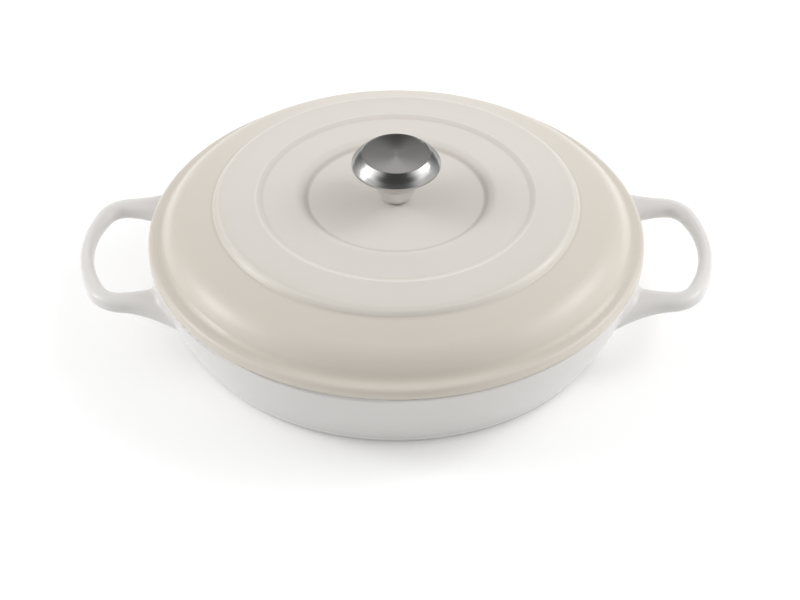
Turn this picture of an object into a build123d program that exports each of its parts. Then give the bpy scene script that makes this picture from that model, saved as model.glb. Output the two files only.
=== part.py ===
from build123d import *
import math
import os

# A shallow cast-iron braiser: an enamelled pot with two loop handles cast onto it, a domed
# and ringed lid that drops onto its rim, and a spun steel knob that is screwed through the lid.
# Millimetres, +Z up. The origin is the centre of the base, on the surface that the pot stands
# on, and the two handles point along +X and -X.

# Pot, measured on its outside unless said otherwise
rim_radius = 155.5
rim_height = 52.0
rim_width = 4.8
rim_round = 1.6
wall_flare = 23.0
wall_bulge = 2.2
wall_thickness = 3.9
foot_round = 5.0
base_thickness = 4.6
floor_round = 20.0
foot_ring_width = 10.0
foot_recess = 0.8

# Loop handles, on the centre line of the bar
loop_drop = 10.9
loop_projection = 38.6
loop_half_width = 48.4
loop_corner_radius = 17.2
loop_tip_radius = 90.4
tip_width = 9.1
tip_height = 9.6
side_width = 14.8
side_height = 11.0
side_power = 2.2
side_step_shares = (0.0, 0.25, 0.5, 0.75, 1.0)
root_width = 44.8
root_height = 24.6
root_drop = 3.1
root_spread = 0.4
root_embed = 3.6
root_blend = 4.0
root_power = 1.6
root_step_shares = (0.0, 0.25, 0.6, 1.0)

# Lid: the rounded lip, the locating ring under it and the dome
lip_setback = 0.5
lip_width = 8.5
lip_height = 8.3
lip_fall = 2.4
lip_top_round = 4.2
lip_bottom_round = 1.4
lip_crease_round = 7.0
lid_wall = 3.4
locating_clearance = 0.9
locating_depth = 5.0
locating_taper = 1.4
locating_round = 1.0
locating_draft = 3.4
shoulder_inset = 7.0
shoulder_rise = 19.2
shoulder_round = 26.0

# Lid: the steps on top of the dome, each measured from the one outside it
dome_width = 25.5
dome_rise = 10.3
step_width = 2.7
step_rise = 3.6
step_foot_round = 1.5
step_edge_round = 8.0
plateau_width = 23.8
plateau_rise = 3.2
middle_ring_round = 4.0
middle_ring_width = 4.5
middle_ring_fall = 1.7
middle_foot_round = 1.5
inner_ring_width = 22.0
inner_ring_rise = 2.0
inner_ring_round = 8.0
hollow_width = 6.5
hollow_fall = 2.6
lid_floor_round = 2.0
underside_round = 12.0
underside_edge_round = 1.6

# Small pads under the locating ring that keep the lid from sliding off when it is tilted
stabiliser_count = 4
stabiliser_width = 16.0
stabiliser_depth = 2.6
stabiliser_inset = 0.6
stabiliser_thickness = 2.6
stabiliser_round = 0.8
stabiliser_start = 45.0

# Fastening through the lid
thread_radius = 3.0
thread_clearance = 0.05
hole_clearance = 0.4
engagement = 7.5
flat_washer_width = 4.6
flat_washer_thickness = 1.2
spring_washer_width = 2.2
spring_washer_thickness = 1.5
spring_washer_gap = 1.2
spring_washer_slant = 25.0
screw_head_width = 2.8
screw_head_height = 3.4
screw_head_round = 1.6
screw_slot_length = 6.4
screw_slot_width = 1.3
screw_slot_depth = 1.8
screw_end_chamfer = 0.6

# Threaded boss inside the knob
boss_wall = 1.5
boss_runout = 2.5
boss_end_wall = 2.0
boss_collar_height = 1.5
boss_clearance = 0.3

# Knob, with radii on its outside and heights above the gasket
gasket_thickness = 0.8
gasket_setback = 2.2
knob_sheet = 0.9
stem_foot_radius = 9.2
stem_foot_round = 2.4
stem_taper = 5.0
stem_waist_rise = 11.6
stem_waist_round = 14.0
knob_radius = 27.5
knob_lip_rise = 23.6
knob_lip_height = 1.7
knob_lip_width = 1.3
knob_lip_round = 0.75
bevel_width = 6.5
bevel_height = 7.2
bevel_bulge = 0.35
shell_edge_width = 0.5
cap_clearance = 0.1
cap_thickness = 1.7
cap_inset = 0.3
cap_dish = 0.9
cap_rim_width = 0.4
cap_ledge_width = 2.2

# Cuts run past the faces that they open
overrun = 5.0

# Pot: worked out from the sizes above
foot_radius = rim_radius - wall_flare
wall_slope = wall_flare / rim_height
wall_across = wall_thickness * math.hypot(1, wall_slope)
rim_inner_radius = rim_radius - rim_width
floor_radius = foot_radius + wall_slope * base_thickness - wall_across
recess_radius = foot_radius - foot_round - foot_ring_width


def wall_radius(height):
    """Radius of the pot's outside at a height, on the arc from its foot to its rim."""
    chord = math.hypot(wall_flare, rim_height)
    arc_radius = (chord**2 / 4 + wall_bulge**2) / (2 * wall_bulge)
    centre_depth = arc_radius - wall_bulge
    centre_radius = (foot_radius + rim_radius) / 2 - centre_depth * rim_height / chord
    centre_height = rim_height / 2 + centre_depth * wall_flare / chord
    return centre_radius + math.sqrt(arc_radius**2 - (height - centre_height) ** 2)


# Loops: the bow's corners, and the roots' ends just inside the pot's wall
loop_height = rim_height - loop_drop
loop_reach = rim_radius + loop_projection
tip_centre_x = loop_reach - loop_tip_radius
corner_y = loop_half_width - loop_corner_radius
corner_x = tip_centre_x + math.sqrt((loop_tip_radius - loop_corner_radius) ** 2 - corner_y**2)
tip_half_angle = math.degrees(math.atan2(corner_y, corner_x - tip_centre_x))
corner_turn = 90 - tip_half_angle
root_side_y = loop_half_width + root_spread + root_width / 2
root_end_x = math.sqrt(wall_radius(loop_height - root_drop) ** 2 - root_side_y**2) - root_embed
root_length = corner_x - root_end_x

# Lid: radii and heights of its corners, from the lip inwards
lip_radius = rim_radius - lip_setback
lip_crease_radius = lip_radius - lip_width
shoulder_radius = lip_crease_radius - shoulder_inset
step_foot_radius = shoulder_radius - dome_width
step_edge_radius = step_foot_radius - step_width
middle_ring_radius = step_edge_radius - plateau_width
middle_foot_radius = middle_ring_radius - middle_ring_width
inner_ring_radius = middle_foot_radius - inner_ring_width
lid_floor_radius = inner_ring_radius - hollow_width
lip_edge_height = rim_height + lip_height - lip_fall
lip_crease_height = rim_height + lip_height
shoulder_height = rim_height + shoulder_rise
step_foot_height = shoulder_height + dome_rise
step_edge_height = step_foot_height + step_rise
middle_ring_height = step_edge_height + plateau_rise
middle_foot_height = middle_ring_height - middle_ring_fall
inner_ring_height = middle_foot_height + inner_ring_rise
lid_floor_height = inner_ring_height - hollow_fall
lid_inside_height = lid_floor_height - lid_wall
lid_inside_radius = lip_crease_radius - lid_wall
locating_radius = rim_inner_radius - locating_clearance
locating_tip_radius = locating_radius - locating_taper
locating_base_height = rim_height - locating_depth
pad_radius = locating_tip_radius - stabiliser_inset - stabiliser_thickness / 2

# Knob: its levels, its sheet's thickness across the slant, and the cap's seat
knob_base_height = lid_floor_height + gasket_thickness
waist_height = knob_base_height + stem_waist_rise
shell_base_height = knob_base_height + knob_lip_rise
bevel_base_height = shell_base_height + knob_lip_height
knob_top_height = bevel_base_height + bevel_height
stem_waist_radius = stem_foot_radius + stem_taper
stem_mouth_radius = knob_radius - knob_lip_width
funnel_slope = (stem_mouth_radius - stem_waist_radius) / (shell_base_height - waist_height)
sheet_across = knob_sheet * math.hypot(1, funnel_slope)
stem_inner_round = stem_foot_round - knob_sheet
knob_top_radius = knob_radius - bevel_width
cap_seat_radius = knob_top_radius - shell_edge_width
cap_ledge_radius = cap_seat_radius - cap_ledge_width
cap_radius = cap_seat_radius - cap_clearance
cap_dish_radius = cap_radius - cap_rim_width
cap_top_height = knob_top_height - cap_inset
cap_base_height = cap_top_height - cap_thickness

# Fastening: bores, the boss and the stack below the lid
hole_radius = thread_radius + hole_clearance
bore_radius = thread_radius + thread_clearance
gasket_radius = stem_foot_radius - gasket_setback
boss_base_height = knob_base_height + knob_sheet
boss_flats = 2 * (bore_radius + boss_wall)
boss_collar_radius = stem_foot_radius - sheet_across - stem_inner_round - boss_clearance
boss_thread_depth = engagement + boss_runout
boss_height = boss_thread_depth + boss_end_wall
screw_end_height = boss_base_height + engagement
spring_washer_top = lid_inside_height - flat_washer_thickness
spring_washer_radius = hole_radius + spring_washer_width
screw_head_top = spring_washer_top - spring_washer_thickness
screw_head_base = screw_head_top - screw_head_height
screw_head_radius = thread_radius + screw_head_width

os.makedirs("parts", exist_ok=True)


# One loop handle on the +X side. The bar is swept round its bow and is slimmest at its tip,
# and each end widens into a root that runs on past the pot's wall, where the bowl is cut later.
with BuildPart() as loop_form:
    with BuildLine(Plane.XY.offset(loop_height)) as bow:
        CenterArc((corner_x, corner_y), loop_corner_radius, 90, -corner_turn)
        CenterArc((tip_centre_x, 0), loop_tip_radius, tip_half_angle, -2 * tip_half_angle)
        CenterArc((corner_x, -corner_y), loop_corner_radius, -tip_half_angle, -corner_turn)
    bow_path = bow.wires()[0]
    for step_share in side_step_shares:
        growth = abs(2 * step_share - 1) ** side_power
        width = tip_width + growth * (side_width - tip_width)
        height = tip_height + growth * (side_height - tip_height)
        with BuildSketch(Plane(bow_path @ step_share, x_dir=(0, 0, 1), z_dir=bow_path % step_share)):
            Ellipse(height / 2, width / 2)
    sweep(path=bow_path, multisection=True)
    for side in (1, -1):
        for step_share in root_step_shares:
            growth = step_share**root_power
            width = side_width + growth * (root_width - side_width)
            height = side_height + growth * (root_height - side_height)
            across = side * (loop_half_width + growth * root_spread)
            with BuildSketch(Plane.YZ.offset(corner_x - step_share * root_length)):
                with Locations((across, loop_height - growth * root_drop)):
                    Ellipse(width / 2, height / 2)
        loft()


# The pot is one casting: a flat foot, a wall that flares and straightens towards the rim, and
# the two loops. The bowl is cut last, so that it trims the handle roots flush with its inside.
with BuildPart() as pot_body:
    with BuildSketch(Plane.XZ) as pot_outside:
        with BuildLine():
            Line((0, rim_height), (0, 0))
            Line((0, 0), (foot_radius, 0))
            SagittaArc((foot_radius, 0), (rim_radius, rim_height), -wall_bulge)
            Line((rim_radius, rim_height), (0, rim_height))
        make_face()
        foot_corner = pot_outside.vertices().group_by(Axis.Y)[0].sort_by(Axis.X)[-1]
        fillet(foot_corner, foot_round)
        rim_corner = pot_outside.vertices().group_by(Axis.Y)[-1].sort_by(Axis.X)[-1]
        fillet(rim_corner, rim_round)
    revolve(axis=Axis.Z)
    add(loop_form.part)
    add(loop_form.part.mirror(Plane.YZ))
    wall_face = pot_body.faces().filter_by(GeomType.REVOLUTION).sort_by(SortBy.AREA)[-1]
    fillet(wall_face.edges().filter_by(GeomType.BSPLINE), root_blend)
    with BuildSketch(Plane.XZ) as bowl:
        with BuildLine():
            Line((0, base_thickness), (floor_radius, base_thickness))
            SagittaArc((floor_radius, base_thickness), (rim_inner_radius, rim_height), -wall_bulge)
            Line((rim_inner_radius, rim_height), (rim_inner_radius, rim_height + overrun))
            Line((rim_inner_radius, rim_height + overrun), (0, rim_height + overrun))
            Line((0, rim_height + overrun), (0, base_thickness))
        make_face()
        floor_corner = bowl.vertices().group_by(Axis.Y)[0].sort_by(Axis.X)[-1]
        fillet(floor_corner, floor_round)
    revolve(axis=Axis.Z, mode=Mode.SUBTRACT)
    rim_edges = pot_body.edges().filter_by(GeomType.CIRCLE).group_by(Axis.Z)[-1]
    fillet(rim_edges.sort_by(SortBy.RADIUS)[0], rim_round)
    with BuildSketch(Plane.XY):
        Circle(recess_radius)
    extrude(amount=foot_recess, mode=Mode.SUBTRACT)
pot_body.part.label = "pot_body"
export_step(pot_body.part, "parts/pot_body.step")


# The lid is the other casting. Its top steps up from the dome to a plateau with two softer
# rings on it, and its underside is smoother, with a ring that drops inside the pot's mouth.
with BuildPart() as lid:
    with BuildSketch(Plane.XZ) as lid_section:
        with BuildLine():
            Polyline(
                (hole_radius, lid_floor_height),
                (lid_floor_radius, lid_floor_height),
                (inner_ring_radius, inner_ring_height),
                (middle_foot_radius, middle_foot_height),
                (middle_ring_radius, middle_ring_height),
                (step_edge_radius, step_edge_height),
                (step_foot_radius, step_foot_height),
                (shoulder_radius, shoulder_height),
                (lip_crease_radius, lip_crease_height),
                (lip_radius, lip_edge_height),
                (lip_radius, rim_height),
                (locating_radius, rim_height),
                (locating_tip_radius, locating_base_height),
                (lid_inside_radius + locating_draft, locating_base_height),
                (lid_inside_radius, lip_crease_height),
                (shoulder_radius - lid_wall, shoulder_height - lid_wall),
                (step_foot_radius - lid_wall / 2, step_foot_height - lid_wall),
                (step_edge_radius - lid_wall / 2, step_edge_height - lid_wall),
                (middle_foot_radius, middle_foot_height - lid_wall),
                (lid_floor_radius, lid_inside_height),
                (hole_radius, lid_inside_height),
                close=True,
            )
        make_face()
        top_rounds = (
            (lid_floor_radius, lid_floor_height, lid_floor_round),
            (inner_ring_radius, inner_ring_height, inner_ring_round),
            (middle_foot_radius, middle_foot_height, middle_foot_round),
            (middle_ring_radius, middle_ring_height, middle_ring_round),
            (step_edge_radius, step_edge_height, step_edge_round),
            (step_foot_radius, step_foot_height, step_foot_round),
            (shoulder_radius, shoulder_height, shoulder_round),
            (lip_crease_radius, lip_crease_height, lip_crease_round),
            (lip_radius, lip_edge_height, lip_top_round),
            (lip_radius, rim_height, lip_bottom_round),
        )
        inside_rounds = (
            (locating_tip_radius, locating_base_height, locating_round),
            (lid_inside_radius + locating_draft, locating_base_height, locating_round),
            (lid_inside_radius, lip_crease_height, lip_crease_round),
            (shoulder_radius - lid_wall, shoulder_height - lid_wall, shoulder_round - lid_wall),
            (step_foot_radius - lid_wall / 2, step_foot_height - lid_wall, step_foot_round + lid_wall),
            (step_edge_radius - lid_wall / 2, step_edge_height - lid_wall, underside_edge_round),
            (middle_foot_radius, middle_foot_height - lid_wall, underside_round),
            (lid_floor_radius, lid_inside_height, underside_round),
        )
        for corner_radius, corner_height, round_radius in top_rounds + inside_rounds:
            corners = lid_section.vertices().sort_by_distance((corner_radius, corner_height))
            fillet(corners[0], round_radius)
    revolve(axis=Axis.Z)
    with BuildSketch(Plane.XY.offset(locating_base_height + locating_round)):
        with PolarLocations(pad_radius, stabiliser_count, start_angle=stabiliser_start):
            RectangleRounded(stabiliser_thickness, stabiliser_width, stabiliser_round)
    extrude(amount=-locating_round - stabiliser_depth)
lid.part.label = "lid"
export_step(lid.part, "parts/lid.step")


# A thin sealing washer keeps the knob's steel foot off the lid's enamel.
with BuildPart() as knob_gasket:
    with BuildSketch(Plane.XY.offset(lid_floor_height)):
        Circle(gasket_radius)
        Circle(hole_radius, mode=Mode.SUBTRACT)
    extrude(amount=gasket_thickness)
knob_gasket.part.label = "knob_gasket"
export_step(knob_gasket.part, "parts/knob_gasket.step")


# The knob is spun from steel sheet. Its stem stands on a small foot and opens into a funnel.
with BuildPart() as knob_stem:
    with BuildSketch(Plane.XZ) as stem_section:
        with BuildLine():
            Polyline(
                (hole_radius, knob_base_height),
                (stem_foot_radius, knob_base_height),
                (stem_waist_radius, waist_height),
                (stem_mouth_radius, shell_base_height),
                (stem_mouth_radius - sheet_across, shell_base_height),
                (stem_waist_radius - sheet_across, waist_height),
                (stem_foot_radius - sheet_across, boss_base_height),
                (hole_radius, boss_base_height),
                close=True,
            )
        make_face()
        stem_rounds = (
            (stem_foot_radius, knob_base_height, stem_foot_round),
            (stem_waist_radius, waist_height, stem_waist_round),
            (stem_waist_radius - sheet_across, waist_height, stem_waist_round + knob_sheet),
            (stem_foot_radius - sheet_across, boss_base_height, stem_inner_round),
        )
        for corner_radius, corner_height, round_radius in stem_rounds:
            corners = stem_section.vertices().sort_by_distance((corner_radius, corner_height))
            fillet(corners[0], round_radius)
    revolve(axis=Axis.Z)
knob_stem.part.label = "knob_stem"
export_step(knob_stem.part, "parts/knob_stem.step")


# The bevelled shell stands on the funnel's mouth, with a lip that overhangs it, and holds the
# cap in a ledge at its top.
with BuildPart() as knob_shell:
    with BuildSketch(Plane.XZ) as shell_section:
        with BuildLine():
            Polyline(
                (stem_mouth_radius - sheet_across, shell_base_height),
                (knob_radius, shell_base_height),
                (knob_radius, bevel_base_height),
            )
            SagittaArc((knob_radius, bevel_base_height), (knob_top_radius, knob_top_height), -bevel_bulge)
            Polyline(
                (knob_top_radius, knob_top_height),
                (cap_seat_radius, knob_top_height),
                (cap_seat_radius, cap_base_height),
                (cap_ledge_radius, cap_base_height),
                (cap_ledge_radius, cap_base_height - knob_sheet),
                (cap_seat_radius, cap_base_height - knob_sheet),
                (knob_radius - sheet_across, bevel_base_height),
                (stem_mouth_radius - sheet_across, shell_base_height),
            )
        make_face()
        lip_corner = shell_section.vertices().sort_by_distance((knob_radius, shell_base_height))[0]
        fillet(lip_corner, knob_lip_round)
    revolve(axis=Axis.Z)
knob_shell.part.label = "knob_shell"
export_step(knob_shell.part, "parts/knob_shell.step")


# The cap is a disc with a flat rim and a shallow turned dish.
with BuildPart() as knob_cap:
    with BuildSketch(Plane.XZ):
        with BuildLine():
            Polyline(
                (0, cap_top_height - cap_dish),
                (0, cap_base_height),
                (cap_radius, cap_base_height),
                (cap_radius, cap_top_height),
                (cap_dish_radius, cap_top_height),
            )
            dish_radius = (cap_dish_radius**2 + cap_dish**2) / (2 * cap_dish)
            RadiusArc((cap_dish_radius, cap_top_height), (0, cap_top_height - cap_dish), dish_radius)
        make_face()
    revolve(axis=Axis.Z)
knob_cap.part.label = "knob_cap"
export_step(knob_cap.part, "parts/knob_cap.step")


# A threaded boss is welded inside the stem's foot. Its collar spreads the screw's pull and its
# hexagon stops it turning in the welding jig.
with BuildPart() as knob_insert:
    with BuildSketch(Plane.XY.offset(boss_base_height)):
        Circle(boss_collar_radius)
    extrude(amount=boss_collar_height)
    with BuildSketch(Plane.XY.offset(boss_base_height)):
        RegularPolygon(boss_flats / 2, 6, major_radius=False)
    extrude(amount=boss_height)
    with BuildSketch(Plane.XY.offset(boss_base_height)):
        Circle(bore_radius)
    extrude(amount=boss_thread_depth, mode=Mode.SUBTRACT)
knob_insert.part.label = "knob_insert"
export_step(knob_insert.part, "parts/knob_insert.step")


# Under the lid a flat washer spreads the load on the enamel.
with BuildPart() as flat_washer:
    with BuildSketch(Plane.XY.offset(lid_inside_height)):
        Circle(hole_radius + flat_washer_width)
        Circle(hole_radius, mode=Mode.SUBTRACT)
    extrude(amount=-flat_washer_thickness)
flat_washer.part.label = "flat_washer"
export_step(flat_washer.part, "parts/flat_washer.step")


# A split spring washer below it keeps the screw from working loose.
with BuildPart() as spring_washer:
    with BuildSketch(Plane.XY.offset(spring_washer_top)):
        Circle(spring_washer_radius)
        Circle(hole_radius, mode=Mode.SUBTRACT)
    extrude(amount=-spring_washer_thickness)
    split_middle = (hole_radius + spring_washer_radius) / 2
    split_plane = Plane.XZ.offset(-split_middle).rotated((0, spring_washer_slant, 0))
    with BuildSketch(split_plane):
        with Locations((0, spring_washer_top - spring_washer_thickness / 2)):
            Rectangle(spring_washer_gap, 2 * overrun)
    extrude(amount=spring_washer_width, both=True, mode=Mode.SUBTRACT)
spring_washer.part.label = "spring_washer"
export_step(spring_washer.part, "parts/spring_washer.step")


# The screw comes up through the washers, the lid, the gasket and the stem into the boss.
with BuildPart() as knob_screw:
    with BuildSketch(Plane.XZ) as screw_section:
        with BuildLine():
            Polyline(
                (0, screw_head_base),
                (screw_head_radius, screw_head_base),
                (screw_head_radius, screw_head_top),
                (thread_radius, screw_head_top),
                (thread_radius, screw_end_height),
                (0, screw_end_height),
                close=True,
            )
        make_face()
        head_corner = screw_section.vertices().sort_by_distance((screw_head_radius, screw_head_base))[0]
        fillet(head_corner, screw_head_round)
        end_corner = screw_section.vertices().sort_by_distance((thread_radius, screw_end_height))[0]
        chamfer(end_corner, screw_end_chamfer)
    revolve(axis=Axis.Z)
    with BuildSketch(Plane.XY.offset(screw_head_base)):
        Rectangle(screw_slot_length, screw_slot_width)
        Rectangle(screw_slot_width, screw_slot_length)
    extrude(amount=screw_slot_depth, mode=Mode.SUBTRACT)
knob_screw.part.label = "knob_screw"
export_step(knob_screw.part, "parts/knob_screw.step")
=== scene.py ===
# %% [markdown]
# # Dressing a cast-iron braiser
#
# The braiser is two enamelled castings, a pot and a lid, with a steel knob screwed through the
# lid. Its real sizes are fixed by the CAD model that is loaded here, so this lesson is about
# looks: glossy enamel, polished and brushed steel, turned shapes and plain studio light.
# Everything is in metres, with +Z up and the origin under the middle of the pot.

import math

import bmesh
import bpy
from mathutils import Matrix, Vector


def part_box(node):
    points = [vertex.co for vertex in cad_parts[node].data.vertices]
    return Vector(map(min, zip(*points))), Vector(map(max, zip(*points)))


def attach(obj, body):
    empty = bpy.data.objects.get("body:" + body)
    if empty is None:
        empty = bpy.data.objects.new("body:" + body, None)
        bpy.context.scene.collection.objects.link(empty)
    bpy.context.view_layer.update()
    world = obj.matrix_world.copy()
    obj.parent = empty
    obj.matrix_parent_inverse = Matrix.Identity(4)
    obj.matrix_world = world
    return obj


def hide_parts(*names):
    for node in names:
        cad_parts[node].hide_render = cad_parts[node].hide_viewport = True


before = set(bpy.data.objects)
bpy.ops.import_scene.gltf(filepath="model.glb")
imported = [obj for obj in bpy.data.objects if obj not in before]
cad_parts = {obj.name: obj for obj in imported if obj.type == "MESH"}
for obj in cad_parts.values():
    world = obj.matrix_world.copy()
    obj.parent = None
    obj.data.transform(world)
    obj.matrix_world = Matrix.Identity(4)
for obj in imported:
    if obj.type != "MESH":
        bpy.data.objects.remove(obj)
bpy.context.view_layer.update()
scene = bpy.context.scene
scene.view_settings.view_transform = "Standard"
print("CAD nodes:", ", ".join(sorted(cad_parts)))

# %% [markdown]
# ## The camera
#
# The photograph looks down on the braiser from the front at about 37 degrees, from far enough
# away that its circles stay nearly perfect ellipses. The camera could be placed by eye. Here it
# hangs on an arc round a point inside the lid, so its height and its tilt follow from the one
# angle, and a long lens gives the same mild perspective.

# %% Hang the camera
view_elevation = math.radians(37.25)
view_distance = 2.0
view_target = Vector((0, 0, 0.060))
pixels_per_radian = 3200
image_width, image_height = 800, 600
target_pixel = (395.3, 230.4)

lens = bpy.data.cameras.new("camera")
lens.sensor_width = 36
lens.lens = pixels_per_radian * lens.sensor_width / image_width
camera = bpy.data.objects.new("camera", lens)
scene.collection.objects.link(camera)
scene.camera = camera
towards_camera = Vector((0, -math.cos(view_elevation), math.sin(view_elevation)))
camera.location = view_target + view_distance * towards_camera
tilt_down = math.atan((image_height / 2 - target_pixel[1]) / pixels_per_radian)
turn_right = math.atan((image_width / 2 - target_pixel[0]) / pixels_per_radian)
camera.rotation_euler = (math.pi / 2 - view_elevation - tilt_down, 0, -turn_right)
camera_place = [round(number, 3) for number in camera.location]
print("lens", round(lens.lens, 1), "mm, camera at", camera_place)

# %% [markdown]
# ## Writing a material as sums
#
# A finish in Blender is a graph of nodes. Wiring it by hand hides the idea behind it, so two
# small classes do the wiring. The first, Field, wraps a socket whose value changes over the
# surface and understands plain sums, so that a mask can be written as 1 - mask.

# %% A value that changes over the surface
class Field:
    """A number, colour or direction that comes out of a node."""

    def __init__(self, paint, socket):
        self.paint, self.socket = paint, socket

    def maths(self, operation, *values):
        return self.paint.node("ShaderNodeMath", {"operation": operation}, values)

    def __add__(self, other):
        return self.maths("ADD", self, other)

    def __sub__(self, other):
        return self.maths("SUBTRACT", self, other)

    def __rsub__(self, other):
        return self.maths("SUBTRACT", other, self)

    def __mul__(self, other):
        return self.maths("MULTIPLY", self, other)

    def __truediv__(self, other):
        return self.maths("DIVIDE", self, other)

    def __rtruediv__(self, other):
        return self.maths("DIVIDE", other, self)

    def __neg__(self):
        return self.maths("MULTIPLY", self, -1)

    def __abs__(self):
        return self.maths("ABSOLUTE", self)

    __radd__, __rmul__ = __add__, __mul__

    def root(self):
        return self.maths("SQRT", self)

    def lower(self, other):
        return self.maths("MINIMUM", self, other)

    def higher(self, other):
        return self.maths("MAXIMUM", self, other)

    def above(self, level, softness):
        """0 below the level and 1 above it, over a soft step of the given width."""
        settings = {"interpolation_type": "SMOOTHSTEP"}
        step = {"Value": self - level, "From Min": -softness / 2, "From Max": softness / 2}
        return self.paint.node("ShaderNodeMapRange", settings, step)

    def near(self, level, width):
        """1 where the value is at the level, fading to 0 at that distance from it."""
        return 1 - abs(self - level).above(width / 2, width)


# %% [markdown]
# ### One method for every node
#
# The second class, Paint, belongs to one material, or to the world. It could have a method for
# each type of node. One is enough: it sets a node's own settings first, because they can change
# which sockets it has, and then gives each socket a plain value or a link. The rest are short
# names for what the finishes ask for again and again.

# %% The nodes of one finish
class Paint:
    """Makes the nodes of one material, or of the world."""

    def __init__(self, owner):
        owner.use_nodes = True
        self.owner, self.tree = owner, owner.node_tree
        self.tree.nodes.clear()

    def node(self, kind, settings=None, values=(), output=0):
        made = self.tree.nodes.new(kind)
        for name, setting in (settings or {}).items():
            setattr(made, name, setting)
        for name, value in values.items() if isinstance(values, dict) else enumerate(values):
            if isinstance(value, Field):
                self.tree.links.new(value.socket, made.inputs[name])
            else:
                made.inputs[name].default_value = value
        return Field(self, made.outputs[output])

    def axes(self, direction):
        """The x, y and z of a place or a direction."""
        return [
            self.node("ShaderNodeSeparateXYZ", values=[direction], output=axis) for axis in "XYZ"
        ]

    def place(self):
        """Where a point of the piece is: its distance from the knob's axis, and its height."""
        x, y, z = self.axes(self.node("ShaderNodeTexCoord", output="Object"))
        return (x * x + y * y).root(), z

    def ray(self, kind):
        """1 for rays of the given kind and 0 for the others."""
        return self.node("ShaderNodeLightPath", output=f"Is {kind} Ray")

    def cloud(self, size, detail=2.0):
        """Soft blotches from 0 to 1, of about the given size in metres."""
        position = self.node("ShaderNodeTexCoord", output="Object")
        values = {"Vector": position, "Scale": 1 / size, "Detail": detail}
        return self.node("ShaderNodeTexNoise", values=values)

    def lines(self, across, size):
        """Fine random lines from 0 to 1 where the given value is constant."""
        values = {"W": across, "Scale": 1 / size, "Detail": 3.0}
        return self.node("ShaderNodeTexNoise", {"noise_dimensions": "1D"}, values)

    def mix(self, share, first, second):
        """The first colour where share is 0 and the second where it is 1."""
        settings = {"data_type": "RGBA", "clamp_factor": True}
        a, b = [value if isinstance(value, Field) else (*value, 1) for value in (first, second)]
        return self.node("ShaderNodeMix", settings, {0: share, 6: a, 7: b}, output=2)

    def bump(self, height, depth):
        """The surface normal of a relief from 0 to 1 that is depth metres deep."""
        values = {"Height": height, "Distance": depth, "Strength": 1.0}
        return self.node("ShaderNodeBump", values=values)

    def surface(self, **sockets):
        """Fills a Principled shader. A socket's name has _ for each space."""
        values = {name.replace("_", " "): value for name, value in sockets.items()}
        shader = self.node("ShaderNodeBsdfPrincipled", values=values)
        return self.finish("ShaderNodeOutputMaterial", shader)

    def finish(self, kind, shader):
        end = self.tree.nodes.new(kind)
        self.tree.links.new(shader.socket, end.inputs["Surface"])
        return self.owner


def new_paint(name):
    return Paint(bpy.data.materials.new(name))


# %% [markdown]
# ## The light of the studio
#
# The reflections in the photograph tell of white paper between two softboxes, one at each side,
# under a dark ceiling and with a dark front. White paper could be had by pouring light on it,
# but then the pale enamel would burn out too. So the lamps stay at a level at which a colour
# looks as it is written. The world gives the soft light that white screens throw back. It is
# strongest from the two sides, and comes as a sum of the direction's x, y and z.

# %% The world's soft light
low_light, top_light, back_light = 0.335, 0.16, 0.09
left_light, right_light = 0.46, 0.54

world = Paint(bpy.data.worlds.new("studio"))
x, y, z = world.axes(world.node("ShaderNodeTexCoord", output="Generated"))
soft_light = low_light + top_light * z * z + back_light * y.higher(0)
soft_light = soft_light + left_light * (-x).higher(0) + right_light * x.higher(0)
print("the soft light from the left is", round(low_light + left_light, 3))

# %% [markdown]
# ### What the steel and the enamel reflect
#
# A reflection shows the studio itself, so the world looks different to mirror-like surfaces.
# They see white walls up to 37 degrees with darker corners at the back and a dark front, and
# above the walls two big bright screens at the sides and a pale strip high at the back. Each is
# a soft mask on the direction. The camera, and rays through anything clear, see plain white.

# %% The world in reflections
wall_top, side_middle, strip_middle = (math.sin(math.radians(angle)) for angle in (37, 43, 68))
ceiling_grey, wall_white, strip_white, side_white = 0.065, 0.69, 0.64, 1.9
corner_shade, front_shade = 0.59, 0.60

corner = abs(x).near(0.64, 0.40) * y.above(0.3, 0.3)
front = (-y).above(0.6, 0.3)
walls = (1 - z.above(wall_top, 0.12)) * (wall_white - corner * corner_shade - front * front_shade)
strip = z.near(strip_middle, 0.09) * y.above(0.1, 0.2) * strip_white
sides = abs(x).above(0.4, 0.1) * z.near(side_middle, 0.32) * y.near(0.0, 0.52) * side_white
mirrored = world.ray("Glossy")
seen = world.ray("Camera").higher(world.ray("Transmission"))
lighting = 1 - mirrored.higher(seen)
strength = seen + mirrored * (walls + ceiling_grey + strip + sides) + lighting * soft_light
background = world.node(
    "ShaderNodeBackground", values={"Color": (1, 1, 1, 1), "Strength": strength}
)
scene.world = world.finish("ShaderNodeOutputWorld", background)
print("the studio's world has", len(world.tree.nodes), "nodes")

# %% [markdown]
# ## The floor
#
# The braiser stands on matt white paper. Paper is never quite as white as the photograph shows
# it, and a stronger light would wash out the shadow. So the paper keeps its honest white and its
# shadow, and adds a little glow of its own that only the camera and mirror-like surfaces see.
# Two metres of it fill the photograph's view. A low view looks past its far edge, which is a
# faint line against the world's white.

# %% Lay the floor
floor_width = 2.0
paper, camera_glow, mirror_glow = (0.86, 0.86, 0.86, 1), (0.22, 0.22, 0.22), (0.43, 0.43, 0.43)

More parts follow.
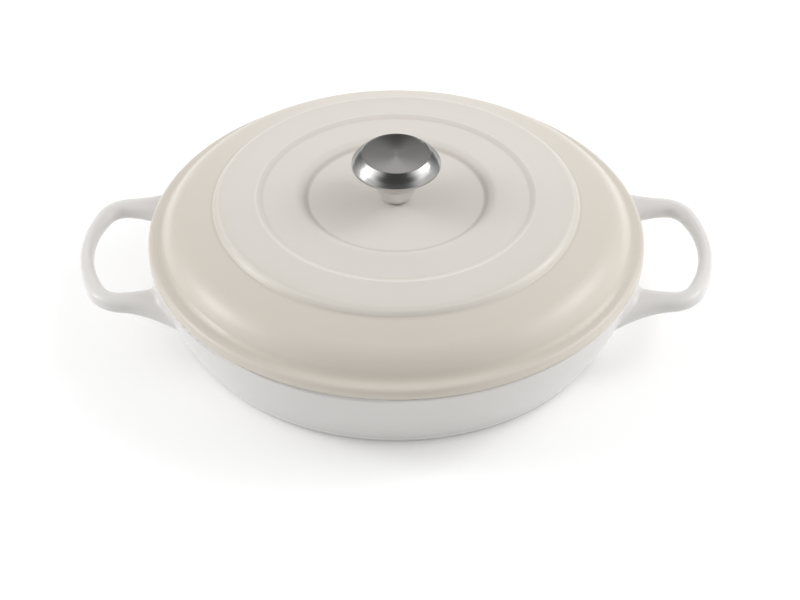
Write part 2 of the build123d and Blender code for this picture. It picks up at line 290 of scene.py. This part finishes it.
floor_paint = new_paint("floor_white")
seen = floor_paint.ray("Camera").higher(floor_paint.ray("Transmission"))
glow = floor_paint.mix(seen, (0, 0, 0), camera_glow)
floor_white = floor_paint.surface(
    Base_Color=paper, Roughness=0.9, Specular_IOR_Level=0.1,
    Emission_Color=floor_paint.mix(floor_paint.ray("Glossy"), glow, mirror_glow),
    Emission_Strength=1.0,
)
reach = floor_width / 2
floor_mesh = bpy.data.meshes.new("floor")
floor_mesh.from_pydata(
    [(-reach, -reach, 0), (reach, -reach, 0), (reach, reach, 0), (-reach, reach, 0)],
    [], [(0, 1, 2, 3)],
)
floor_mesh.materials.append(floor_white)
sheet = bpy.data.objects.new("floor", floor_mesh)
scene.collection.objects.link(sheet)
print("floor", floor_width, "m wide")

# %% [markdown]
# ## Two softboxes
#
# A softbox is a lamp behind a white cloth, brighter at its middle than at its rim. One even lamp
# could stand for it, but its reflection would be a flat white bar. So each softbox is two lamps:
# a broad one that lights the braiser and is left out of reflections, and a smaller, brighter
# core whose reflection is the highlight on the lid's shoulder. Each hangs on an arc round the
# lid and faces it.

# %% Hang the softboxes
def softbox(name, azimuth, elevation, distance, size, brightness, reflected):
    """A rectangular lamp aimed at the lid. Brightness is what a mirror would show of it."""
    lamp = bpy.data.lights.new(name, "AREA")
    lamp.shape = "RECTANGLE"
    lamp.size, lamp.size_y = size
    lamp.energy = brightness * math.pi * size[0] * size[1]
    holder = bpy.data.objects.new(name, lamp)
    scene.collection.objects.link(holder)
    holder.visible_glossy = reflected
    turn, rise = math.radians(azimuth), math.radians(elevation)
    level = math.cos(rise)
    away = Vector((math.cos(turn) * level, math.sin(turn) * level, math.sin(rise)))
    holder.location = view_target + distance * away
    holder.rotation_euler = away.to_track_quat("Z", "Y").to_euler()
    print(name, "gives", round(lamp.energy, 1), "W")


softbox("softbox_left", 172, 30, 1.6, (1.2, 0.9), brightness=1.85, reflected=False)
softbox("softbox_left_core", 176, 28, 1.55, (0.40, 0.44), brightness=7.6, reflected=True)
softbox("softbox_right", 12, 31, 1.6, (1.3, 1.0), brightness=2.2, reflected=False)
softbox("softbox_right_core", 16, 36, 1.55, (0.40, 0.46), brightness=6.0, reflected=True)

# %% [markdown]
# ## Enamel
#
# Vitreous enamel is coloured glass, fired onto the iron in a coat a third of a millimetre
# thick. It shines, but it isn't a mirror: it follows the sand casting under it in long soft
# waves, with a finer skin like orange peel. A clear coat over a colour could make the shine, but
# the real coat is one layer, so one glossy shader with a relief does it. Inside, both castings
# have the same sand-coloured enamel, slightly cloudy.

# %% What all the enamels share
glass_ior = 1.5
sand, sand_deep = (0.70, 0.65, 0.56), (0.63, 0.57, 0.47)
peel_size, wave_size, relief_depth = 0.0035, 0.028, 0.00014


def enamel_relief(paint):
    peel, wave = paint.cloud(peel_size, 1.0), paint.cloud(wave_size, 1.0)
    return paint.bump(peel * 0.25 + wave, relief_depth)


def enamel_gloss(paint, roughness):
    """Nearly the same roughness all over, a little duller in some patches."""
    return roughness + (paint.cloud(0.04) - 0.5) * 0.03


def sand_enamel(paint):
    return paint.mix(paint.cloud(0.02, 4.0), sand, sand_deep)


print("waves", wave_size * 1000, "mm long, peel", peel_size * 1000, "mm")

# %% [markdown]
# ### Where the lid's colour changes
#
# The creases are painted darker: painted shade, together with the deeper colour of enamel that
# runs a little thicker there. The foot of the hollow round the knob gets a darker painted shade,
# and the edges of the two steps get painted highlights as paler lines. These lines could be
# painted on an image. But the lid is round, so each is a ring at a radius that is read off its
# section: the feet of its two steps and the crease inside the lip, the foot of the hollow round
# the knob, and the edges of the two steps.

# %% Rings round the knob
# painted shade in the creases: the feet of the two steps and the crease inside the lip
shaded_creases = ((0.1146, 0.0016, 0.45), (0.0832, 0.0024, 0.25), (0.1470, 0.0040, 0.45))
# painted shade at the foot of the hollow round the knob
hollow_foot_shade = ((0.0560, 0.0028, 0.50),)
# painted highlights on the edges of the two steps
edge_highlights = ((0.1108, 0.0014, 0.25), (0.0870, 0.0014, 0.40))


def rings(radius, rows):
    """Soft rings. A row is a ring's radius, its half width and its strength."""
    return sum(radius.near(middle, width) * strength for middle, width, strength in rows)


print("rings at", [round(row[0] * 1000, 1) for row in shaded_creases + hollow_foot_shade + edge_highlights], "mm")

# %% [markdown]
# ### The lid
#
# The cream of the lid is warmer on the dome. The steps round the knob are painted paler, as a
# painted reflection. Its underside has the sand enamel, with a satin surface. Both could be
# painted on as images, but again radius and height say where a point is: the underside is
# whatever lies below the lowest of three lines drawn inside the casting's wall.

# %% Paint the lid
lid_warm, lid_painted_reflection = (0.648, 0.600, 0.530), (0.692, 0.657, 0.612)
lid_deep_and_shade, lid_painted_shade, lid_painted_highlight = (0.600, 0.535, 0.455), (0.46, 0.41, 0.36), (0.85, 0.83, 0.78)
flat_height = 0.0845
wall_lines = ((0.0800, 0.113, 0.42), (0.0695, 0.138, 1.353))  # a height, its radius, the fall

lid_paint = new_paint("enamel_cream")
radius, z = lid_paint.place()
# painted reflection: inside about 112 mm the steps are paler
tone = lid_paint.mix(radius.above(0.112, 0.034), lid_painted_reflection, lid_warm)
blotches = (lid_paint.cloud(0.05) - 0.5) * 0.3
# painted shade in the creases, with the deeper colour of thicker enamel and random blotches of
# tone
tone = lid_paint.mix(rings(radius, shaded_creases) + blotches, tone, lid_deep_and_shade)
# painted shade: a dark ring at the foot of the hollow round the knob
tone = lid_paint.mix(rings(radius, hollow_foot_shade), tone, lid_painted_shade)
# painted highlights: pale rings on the edges of the two steps
tone = lid_paint.mix(rings(radius, edge_highlights), tone, lid_painted_highlight)
middle_of_wall = flat_height
for height, at_radius, fall in wall_lines:
    middle_of_wall = (height - (radius - at_radius) * fall).lower(middle_of_wall)
underside = (middle_of_wall - z).above(0, 0.0004)
lid_enamel = lid_paint.surface(
    Base_Color=lid_paint.mix(underside, tone, sand_enamel(lid_paint)),
    Roughness=enamel_gloss(lid_paint, 0.345) + underside * 0.05,
    Normal=enamel_relief(lid_paint), IOR=glass_ior,
)
print("lid enamel:", len(lid_paint.tree.nodes), "nodes")

# %% [markdown]
# ### Where the pot's finish changes
#
# The pot is a cooler near-white outside and sand inside. Its rim, where the lid sits, and the
# foot ring under it are rubbed matt. As on the lid, radius and height tell the places apart:
# the bowl is inside a line in the middle of the wall, which leans outwards and bulges a little.

# %% Find the bowl, the rim and the foot
rim_height, foot_radius, flare, bulge = 0.052, 0.1304, 0.4365, 0.0096
ring_middle, ring_half = 0.1225, 0.0075

pot_paint = new_paint("enamel_white")
radius, z = pot_paint.place()
share = z / rim_height
wall_middle = foot_radius + z * flare + share * (1 - share) * bulge
bowl = (wall_middle - radius).above(0, 0.0006) * z.above(0.0025, 0.0006)
rim = z.above(0.0511, 0.0005) * (radius - wall_middle + 0.003).above(0, 0.0006)
foot = (1 - z.above(0.0003, 0.0004)) * radius.near(ring_middle, ring_half)
middle_at_rim = (foot_radius + rim_height * flare) * 1000
print("at the rim, the wall's middle is at", round(middle_at_rim, 1), "mm")

# %% [markdown]
# ### The pot
#
# Seen closely, the foot of the wall ends in a thin pale line with a grey one under it, over the
# shadow. Shape and light alone give too little of either, so both are painted as bands of
# height, kept off the bowl: the pale line is a painted highlight and the grey one a painted
# shadow. The same grey is the colour of the matt foot ring underneath.

# %% Paint the pot
white, white_deep, white_painted_highlight = (0.735, 0.715, 0.697), (0.680, 0.657, 0.635), (0.93, 0.92, 0.90)
grey_foot_and_shadow = (0.50, 0.48, 0.45)

outside = 1 - bowl
tone = pot_paint.mix(pot_paint.cloud(0.05) * 0.5, white, white_deep)
tone = pot_paint.mix(bowl, tone, sand_enamel(pot_paint))
# painted highlight: a thin pale band about 5 mm up the outside
tone = pot_paint.mix(z.near(0.0052, 0.0011) * outside * 0.8, tone, white_painted_highlight)
# painted shadow: a grey band along the bottom 3 mm of the outside
tone = pot_paint.mix((1 - z.above(0.0034, 0.0010)) * outside * 0.6, tone, grey_foot_and_shadow)
pot_enamel = pot_paint.surface(
    Base_Color=pot_paint.mix(foot, tone, grey_foot_and_shadow),
    Roughness=enamel_gloss(pot_paint, 0.31) + bowl * 0.06 + rim * 0.15 + foot * 0.25,
    Normal=enamel_relief(pot_paint), IOR=glass_ior,
)
print("pot enamel:", len(pot_paint.tree.nodes), "nodes")

# %% [markdown]
# ## Steel
#
# The knob is stainless steel. Its cap is turned and brushed in circles, so each groove spreads
# a reflection across itself, and the disc shows wedges of light and dark that meet at its
# middle. Drawing the wedges would freeze them to one view. An anisotropic shader makes them
# from the grooves' direction, and fine lines of even radius give the grain. The shell and the
# stem are polished, with only a trace of the lathe, and the fasteners are plain.

# %% Brushed and polished steel
def steel(name, colour, roughness, groove, depth, spread, grazing):
    """Groove is the width of the lathe's lines, spread is how far they draw out a reflection,
    and grazing is the share of the shine that is left where the steel is seen edge on."""
    paint = new_paint(name)
    radius, z = paint.place()
    strokes = paint.lines(radius + z * 0.7, groove)
    darker, lighter = ([value * share for value in colour] for share in (0.9, 1.1))
    return paint.surface(
        Base_Color=paint.mix(strokes, darker, lighter), Metallic=1.0,
        Roughness=roughness + (strokes - 0.5) * 0.05,
        Normal=paint.bump(strokes, depth), Anisotropic=spread,
        Specular_Tint=(grazing, grazing, grazing, 1),
    )


cap_steel = steel(
    "steel_brushed", (0.45, 0.44, 0.43), roughness=0.235,
    groove=0.00022, depth=0.0000012, spread=0.92, grazing=0.9,
)
shell_steel = steel(
    "steel_polished", (0.53, 0.525, 0.52), roughness=0.21,
    groove=0.0003, depth=0.0000003, spread=0.3, grazing=0.45,
)
stem_steel = steel(
    "steel_satin", (0.86, 0.85, 0.84), roughness=0.22,
    groove=0.0003, depth=0.000001, spread=0.4, grazing=0.95,
)
fastener_steel = steel(
    "steel_plain", (0.55, 0.55, 0.55), roughness=0.34,
    groove=0.0004, depth=0.000002, spread=0.0, grazing=0.9,
)
for finish in (cap_steel, shell_steel, stem_steel, fastener_steel):
    print(finish.name, "has", len(finish.node_tree.nodes), "nodes")

# %% [markdown]
# ## Silicone
#
# A thin black silicone washer keeps the steel foot off the enamel. A plain dark grey would pass
# for it, since only its edge shows, as a dark line. But moulded silicone is matt with a faint
# powdery bloom, and that is one more cloud in its colour, its gloss and its relief.

# %% Mix the silicone
silicone_dark, silicone_bloom = (0.025, 0.025, 0.025), (0.05, 0.05, 0.05)

silicone_paint = new_paint("silicone")
bloom = silicone_paint.cloud(0.0012, 3.0)
silicone = silicone_paint.surface(
    Base_Color=silicone_paint.mix(bloom, silicone_dark, silicone_bloom),
    Roughness=0.55 + bloom * 0.15, Normal=silicone_paint.bump(bloom, 0.00001),
)
print("silicone:", len(silicone_paint.tree.nodes), "nodes")

# %% [markdown]
# ## Turning a shape
#
# Every part of the knob is round, so each can be drawn as half of its section and spun.
# Blender's Screw modifier would do it, but a real turned edge is always broken by a small
# round, and those rounds catch the thin bright lines that make steel look like steel. So a
# short function rounds the section's corners first.

# %% A section with rounded corners
finest_turn = math.radians(6)


def rounded_section(corners):
    """Points of a closed section in metres. A corner is (radius, height, round), in mm."""
    points = []
    for number, (across, up, fillet) in enumerate(corners):
        corner = Vector((across, up))
        if not fillet:
            points.append(corner)
            continue
        before = Vector(corners[number - 1][:2]) - corner
        after = Vector(corners[(number + 1) % len(corners)][:2]) - corner
        opening = before.angle(after)
        reach = fillet / math.tan(opening / 2)
        start, end = before.normalized() * reach, after.normalized() * reach
        centre = (start + end).normalized() * fillet / math.sin(opening / 2)
        first = start - centre
        swing = first.angle_signed(end - centre)
        steps = max(2, math.ceil(abs(swing) / finest_turn))
        for step in range(steps + 1):
            points.append(corner + centre + Matrix.Rotation(-swing * step / steps, 2) @ first)
    return [point / 1000 for point in points]


square = rounded_section([(0, 0, 0.1), (1, 0, 0.1), (1, 1, 0.1), (0, 1, 0.1)])
print("a square with its four corners rounded has", len(square), "points")

# %% [markdown]
# ### Spinning it
#
# The section is then copied round the axis, and neighbouring copies are joined by four-sided
# faces. Long straight runs are divided first, so that no face is a sliver. Points on the axis
# fall together and are merged. All faces are shaded smooth, except across an edge that is bent
# by 35 degrees or more, which stays sharp.

# %% Spin a section round the knob's axis
turn_steps = 192
longest_run = 0.0012
sharpest_smooth = math.radians(35)


def turned_piece(name, corners, material):
    """Spins a closed section round the Z axis into a mesh that rides on the lid."""
    section = []
    points = rounded_section(corners)
    for point, following in zip(points, points[1:] + points[:1]):
        runs = max(1, math.ceil((following - point).length / longest_run))
        section += [point.lerp(following, run / runs) for run in range(runs)]
    rows = len(section)
    turns = [2 * math.pi * step / turn_steps for step in range(turn_steps)]
    vertices = [
        (p.x * math.cos(turn), p.x * math.sin(turn), p.y) for turn in turns for p in section
    ]
    faces = []
    for step in range(turn_steps):
        here, there = step * rows, (step + 1) % turn_steps * rows
        for row in range(rows):
            following = (row + 1) % rows
            faces.append((here + row, here + following, there + following, there + row))
    mesh = bpy.data.meshes.new(name)
    mesh.from_pydata(vertices, [], faces)
    mesh.materials.append(material)
    work = bmesh.new()
    work.from_mesh(mesh)
    bmesh.ops.remove_doubles(work, verts=work.verts, dist=1e-7)
    bmesh.ops.dissolve_degenerate(work, edges=work.edges, dist=1e-8)
    bmesh.ops.recalc_face_normals(work, faces=work.faces)
    for face in work.faces:
        face.smooth = True
    for edge in work.edges:
        edge.smooth = len(edge.link_faces) == 2 and edge.calc_face_angle() < sharpest_smooth
    work.to_mesh(mesh)
    work.free()
    piece = bpy.data.objects.new(name, mesh)
    scene.collection.objects.link(piece)
    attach(piece, "lid")
    print(name, "has", len(mesh.polygons), "faces from", rows, "points of its section")
    return piece


# %% [markdown]
# ## The knob's cap
#
# The cap is a disc, dropped into the shell and dished by just under a millimetre. A flat disc
# would mirror one even patch of the studio. The dish falls steeply inside a narrow rim and
# flattens towards the middle, so the reflection changes all the way across it.

# %% Turn the cap
cap_low, cap_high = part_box("knob_cap")
cap_radius, cap_bottom, cap_top = cap_high.x * 1000, cap_low.z * 1000, cap_high.z * 1000
cap_rim, dish_depth, dish_steps, dish_run = 0.4, 0.9, 16, 1.25

dish = []
for step in range(1, dish_steps):
    fall = dish_depth * (1 - (1 - step / dish_steps) ** 2)
    dish.append((cap_radius - cap_rim - step * dish_run, cap_top - fall, 0))
knob_cap = turned_piece("knob_cap_turned", [
    (0, cap_bottom, 0), (cap_radius, cap_bottom, 0.1), (cap_radius, cap_top, 0.15),
    (cap_radius - cap_rim, cap_top, 0.1), *dish, (0, cap_top - dish_depth, 0),
], cap_steel)
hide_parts("knob_cap")

# %% [markdown]
# ## The knob's shell
#
# The shell is pressed from sheet: a low upright lip, a steep bevel above it that is bowed by a
# third of a millimetre, and a ledge inside that the cap sits on. The bow could be left out, but
# it is what spreads the softboxes' reflections over the bevel. It is one very obtuse corner with
# a 30 mm round.

# %% Turn the shell
shell_low, shell_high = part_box("knob_shell")
edge, base, top = shell_high.x * 1000, shell_low.z * 1000, shell_high.z * 1000
lip_height, bevel_run, opening_run, ledge_run = 1.7, 6.5, 7.0, 9.2
ledge_top, ledge_bottom = top - 2.0, top - 2.9
bow_run, bow_rise, bow_round = 2.73, 5.77, 30

knob_shell = turned_piece("knob_shell_turned", [
    (edge - 2.6, base, 0), (edge, base, 0.75), (edge, base + lip_height, 0.35),
    (edge - bow_run, base + bow_rise, bow_round), (edge - bevel_run, top, 0.2),
    (edge - opening_run, top, 0.12), (edge - opening_run, ledge_top, 0),
    (edge - ledge_run, ledge_top, 0), (edge - ledge_run, ledge_bottom, 0.2),
    (edge - opening_run, ledge_bottom, 0), (edge - 1.3, base + lip_height, 0.3),
], shell_steel)
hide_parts("knob_shell")

# %% [markdown]
# ## The knob's stem
#
# The stem is a funnel of sheet steel. Its mouth meets the shell, it narrows to a waist, and it
# ends in a small rounded foot with a hole for the screw. A solid cone would look the same from
# outside. A pressed one is hollow, so the section runs up the outside and down the inside, and
# each inner round differs from its outer one by the sheet's thickness.

# %% Turn the stem
stem_low, stem_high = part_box("knob_stem")
foot_z, mouth_z, mouth = stem_low.z * 1000, stem_high.z * 1000, stem_high.x * 1000
screw_hole, stem_sheet, wall_run = 3.4, 0.9, 1.27
stem_foot, foot_round = 9.2, 2.4
waist, waist_rise, waist_round = 14.2, 11.6, 14

knob_stem = turned_piece("knob_stem_turned", [
    (screw_hole, foot_z, 0.1), (stem_foot, foot_z, foot_round),
    (waist, foot_z + waist_rise, waist_round), (mouth, mouth_z, 0), (mouth - wall_run, mouth_z, 0),
    (waist - wall_run, foot_z + waist_rise, waist_round + stem_sheet),
    (stem_foot - wall_run, foot_z + stem_sheet, foot_round - stem_sheet),
    (screw_hole, foot_z + stem_sheet, 0.1),
], stem_steel)
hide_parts("knob_stem")

# %% [markdown]
# ## Gasket and flat washer
#
# The gasket over the lid and the flat washer under it are plain rings, but a stamped or moulded
# ring has no sharp edges. The same spinning makes them with their edges broken.

# %% Turn the gasket and the flat washer
for name, material, slot, fillet in (
    ("knob_gasket", silicone, "gasket_silicone", 0.3),
    ("flat_washer", fastener_steel, "fastener_steel", 0.25),
):
    low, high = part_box(name)
    outer, bottom, top = high.x * 1000, low.z * 1000, high.z * 1000
    ring = turned_piece(name + "_turned", [
        (screw_hole, bottom, fillet), (outer, bottom, fillet),
        (outer, top, fillet), (screw_hole, top, fillet),
    ], material)
    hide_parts(name)

# %% [markdown]
# ## Dressing the CAD pieces
#
# The two castings and the small fasteners inside have the right shape already, down to the
# blend where the loops run into the wall. They could be built again, but that would only copy
# them. So they stay, and only get their finish.

# %% Give the remaining pieces their finish
dress = {
    "pot_body": pot_enamel, "lid": lid_enamel, "knob_insert": fastener_steel,
    "spring_washer": fastener_steel, "knob_screw": fastener_steel,
}
for name, material in dress.items():
    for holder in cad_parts[name].material_slots:
        holder.material = material
print("dressed", ", ".join(dress))

# %% [markdown]
# ## The sizes
#
# A dressed model must not outgrow the CAD model, because its sizes are the real ones.

# %% Finish
print("the braiser is dressed")
